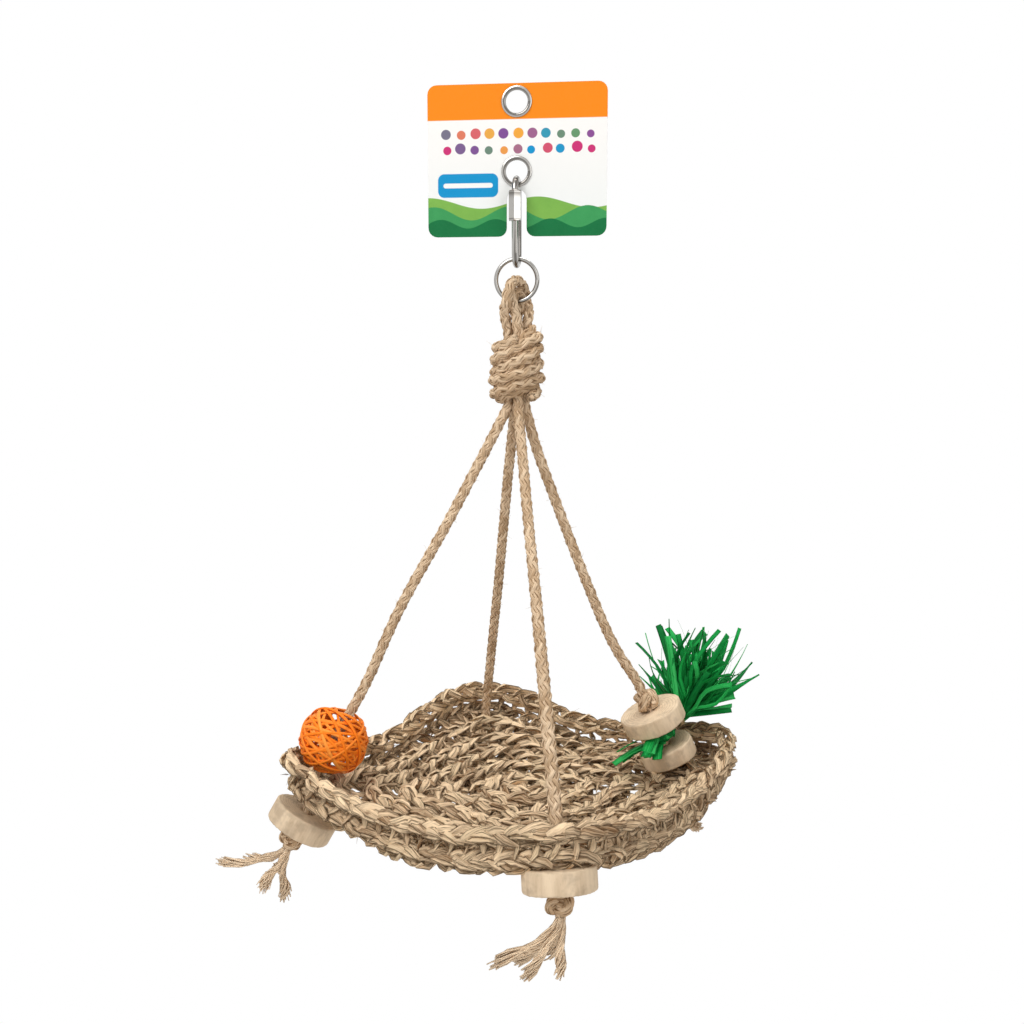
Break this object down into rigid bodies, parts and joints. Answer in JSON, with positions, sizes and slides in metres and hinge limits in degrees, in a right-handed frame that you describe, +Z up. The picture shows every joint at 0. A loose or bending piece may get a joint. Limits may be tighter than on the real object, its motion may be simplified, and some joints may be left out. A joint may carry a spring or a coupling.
{
  "type": "bird hammock",
  "caption": "Hanging bird hammock: a crocheted seagrass tray on jute ropes gathered in a wrapped knot, hung from a ring, quick link and eyeleted card, with chewing toys.",
  "frame": {"origin": "hang point: the upper inside edge of the card's top eyelet, in the middle of the card's thickness", "axes": "+Z up along the hang line, X along the card's width, the card's printed side faces -Y"},
  "size_m": [0.2891, 0.2703, 0.4499],
  "materials": {
    "printed_card": "printed, satin",
    "nickel": "bright nickel plate",
    "jute": "braided jute",
    "seagrass": "crocheted dry seagrass",
    "pale_wood": "sawn, unfinished",
    "orange_rattan": "dyed rattan strips",
    "green_raffia": "dyed raffia ribbons",
    "tie_fibre": "natural fibre"
  },
  "bodies": {
    "card": {"header_card": "printed_card", "eyelet_top": "nickel", "eyelet_lower": "nickel"},
    "link": {"quick_link": "nickel"},
    "sleeve": {"link_sleeve_nut": "nickel"},
    "ring": {"hang_ring": "nickel"},
    "hammock": {"rope_loop_outer": "jute", "rope_loop_inner": "jute", "top_knot": "jute", "rope_leg_front": "jute", "rope_leg_left": "jute", "rope_leg_right": "jute", "rope_leg_back": "jute", "rope_knot_right": "jute", "stopper_knot_front": "jute", "stopper_knot_left": "jute", "stopper_knot_right": "jute", "stopper_knot_back": "jute", "frayed_end_front": "jute", "frayed_end_left": "jute", "frayed_end_right": "jute", "frayed_end_back": "jute", "wood_disc_front": "pale_wood", "wood_disc_left": "pale_wood", "wood_disc_right": "pale_wood", "wood_disc_back": "pale_wood", "seagrass_mat": "seagrass", "seagrass_rim": "seagrass"},
    "ball": {"rattan_ball": "orange_rattan"},
    "upper_slice": {"toy_disc_upper": "pale_wood"},
    "lower_slice": {"toy_disc_lower": "pale_wood"},
    "raffia": {"raffia_tuft": "green_raffia", "raffia_tie": "tie_fibre"}
  },
  "joints": [
    {"name": "link_swing", "type": "hinge", "parent": "card", "child": "link", "pos_m": [0, 0, -0.0488], "axis": [1, 0, 0], "range_deg": [-40, 40]},
    {"name": "sleeve_travel", "type": "slide", "parent": "link", "child": "sleeve", "axis": [0, 0, -1], "range_m": [0, 0.007]},
    {"name": "ring_swing", "type": "hinge", "parent": "link", "child": "ring", "pos_m": [0, 0, -0.09155], "axis": [0, 1, 0], "range_deg": [-60, 60]},
    {"name": "hammock_swing", "type": "hinge", "parent": "ring", "child": "hammock", "pos_m": [0, 0, -0.1109], "axis": [1, 0, 0], "range_deg": [-45, 45]},
    {"name": "ball_spin", "type": "hinge", "parent": "hammock", "child": "ball", "pos_m": [-0.09832, -0.03195, -0.35266], "axis": [0.4487, 0.1458, 0.8817], "continuous": true},
    {"name": "upper_slice_spin", "type": "hinge", "parent": "hammock", "child": "upper_slice", "pos_m": [0.07666, 0.02491, -0.349], "axis": [-0.3868, -0.1257, 0.9135], "continuous": true},
    {"name": "lower_slice_spin", "type": "hinge", "parent": "hammock", "child": "lower_slice", "pos_m": [0.0856, 0.02781, -0.37011], "axis": [-0.3868, -0.1257, 0.9135], "continuous": true},
    {"name": "raffia_turn", "type": "hinge", "parent": "hammock", "child": "raffia", "pos_m": [0.08113, 0.02636, -0.35956], "axis": [-0.3868, -0.1257, 0.9135], "range_deg": [-30, 30]}
  ]
}
